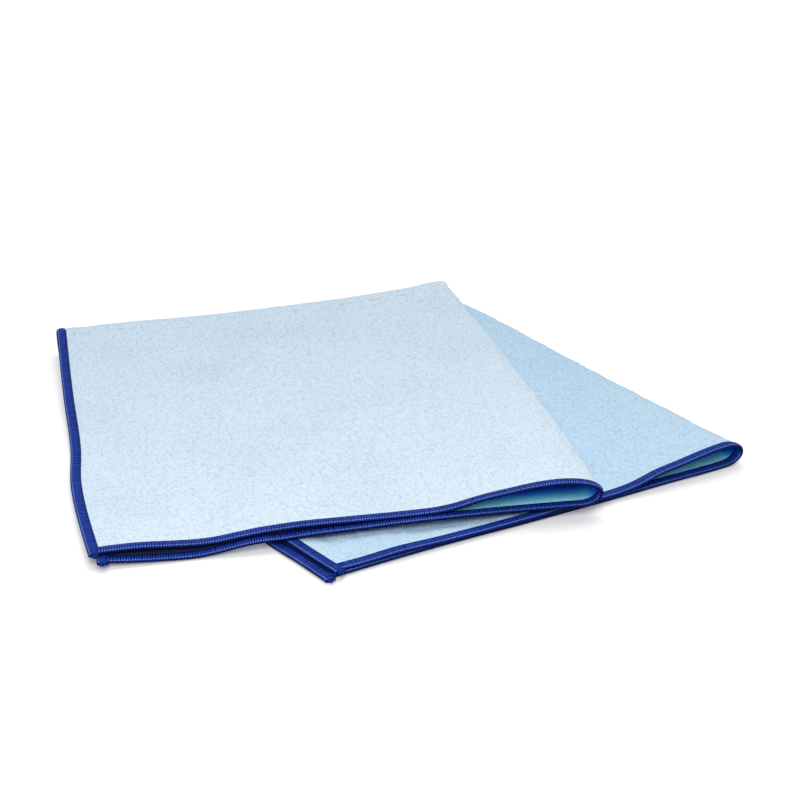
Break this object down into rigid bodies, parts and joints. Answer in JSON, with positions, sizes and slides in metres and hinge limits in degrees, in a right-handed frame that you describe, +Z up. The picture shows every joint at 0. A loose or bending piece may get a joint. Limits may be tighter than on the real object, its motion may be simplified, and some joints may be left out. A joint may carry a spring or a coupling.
{
  "type": "microfibre polishing cloth",
  "caption": "Plush microfibre polishing cloth with dark overlocked hems, folded twice into a slightly skewed stack with a soft loop at each crease; the upper half opens about the far fold.",
  "frame": {"origin": "on the table under the middle of the folded cloth's outline", "axes": "+Z up, +X along the far fold towards the end where the first fold's loops are, +Y from the front hems to the far fold"},
  "size_m": [0.2756, 0.2644, 0.0149],
  "materials": {
    "plush_microfibre": "short looped pile, matt with a soft sheen",
    "hem_thread": "overlocked polyester looper thread, slightly shiny",
    "needle_thread": "twisted polyester sewing thread, slightly shiny"
  },
  "bodies": {
    "lower_half": {"lower_panel": "plush_microfibre", "lower_front_hem": "hem_thread", "lower_front_needle_thread": "needle_thread", "lower_outer_side_hem": "hem_thread", "lower_outer_side_needle_thread": "needle_thread", "lower_inner_side_hem": "hem_thread", "lower_inner_side_needle_thread": "needle_thread", "lower_outer_thread_tail": "hem_thread", "lower_inner_thread_tail": "hem_thread", "far_fold_outer": "plush_microfibre", "far_fold_inner": "plush_microfibre", "far_fold_outer_hem": "hem_thread", "far_fold_inner_hem": "hem_thread"},
    "upper_half": {"upper_panel": "plush_microfibre", "upper_front_hem": "hem_thread", "upper_front_needle_thread": "needle_thread", "upper_outer_side_hem": "hem_thread", "upper_outer_side_needle_thread": "needle_thread", "upper_inner_side_hem": "hem_thread", "upper_inner_side_needle_thread": "needle_thread", "upper_outer_thread_tail": "hem_thread", "upper_inner_thread_tail": "hem_thread"}
  },
  "joints": [
    {"name": "far_fold", "type": "hinge", "parent": "lower_half", "child": "upper_half", "pos_m": [0.1006, 0.12744, 0.0032], "axis": [-1, 0, 0.0073], "range_deg": [0, 175], "deforming": ["far_fold_outer", "far_fold_inner", "far_fold_outer_hem", "far_fold_inner_hem"]}
  ]
}
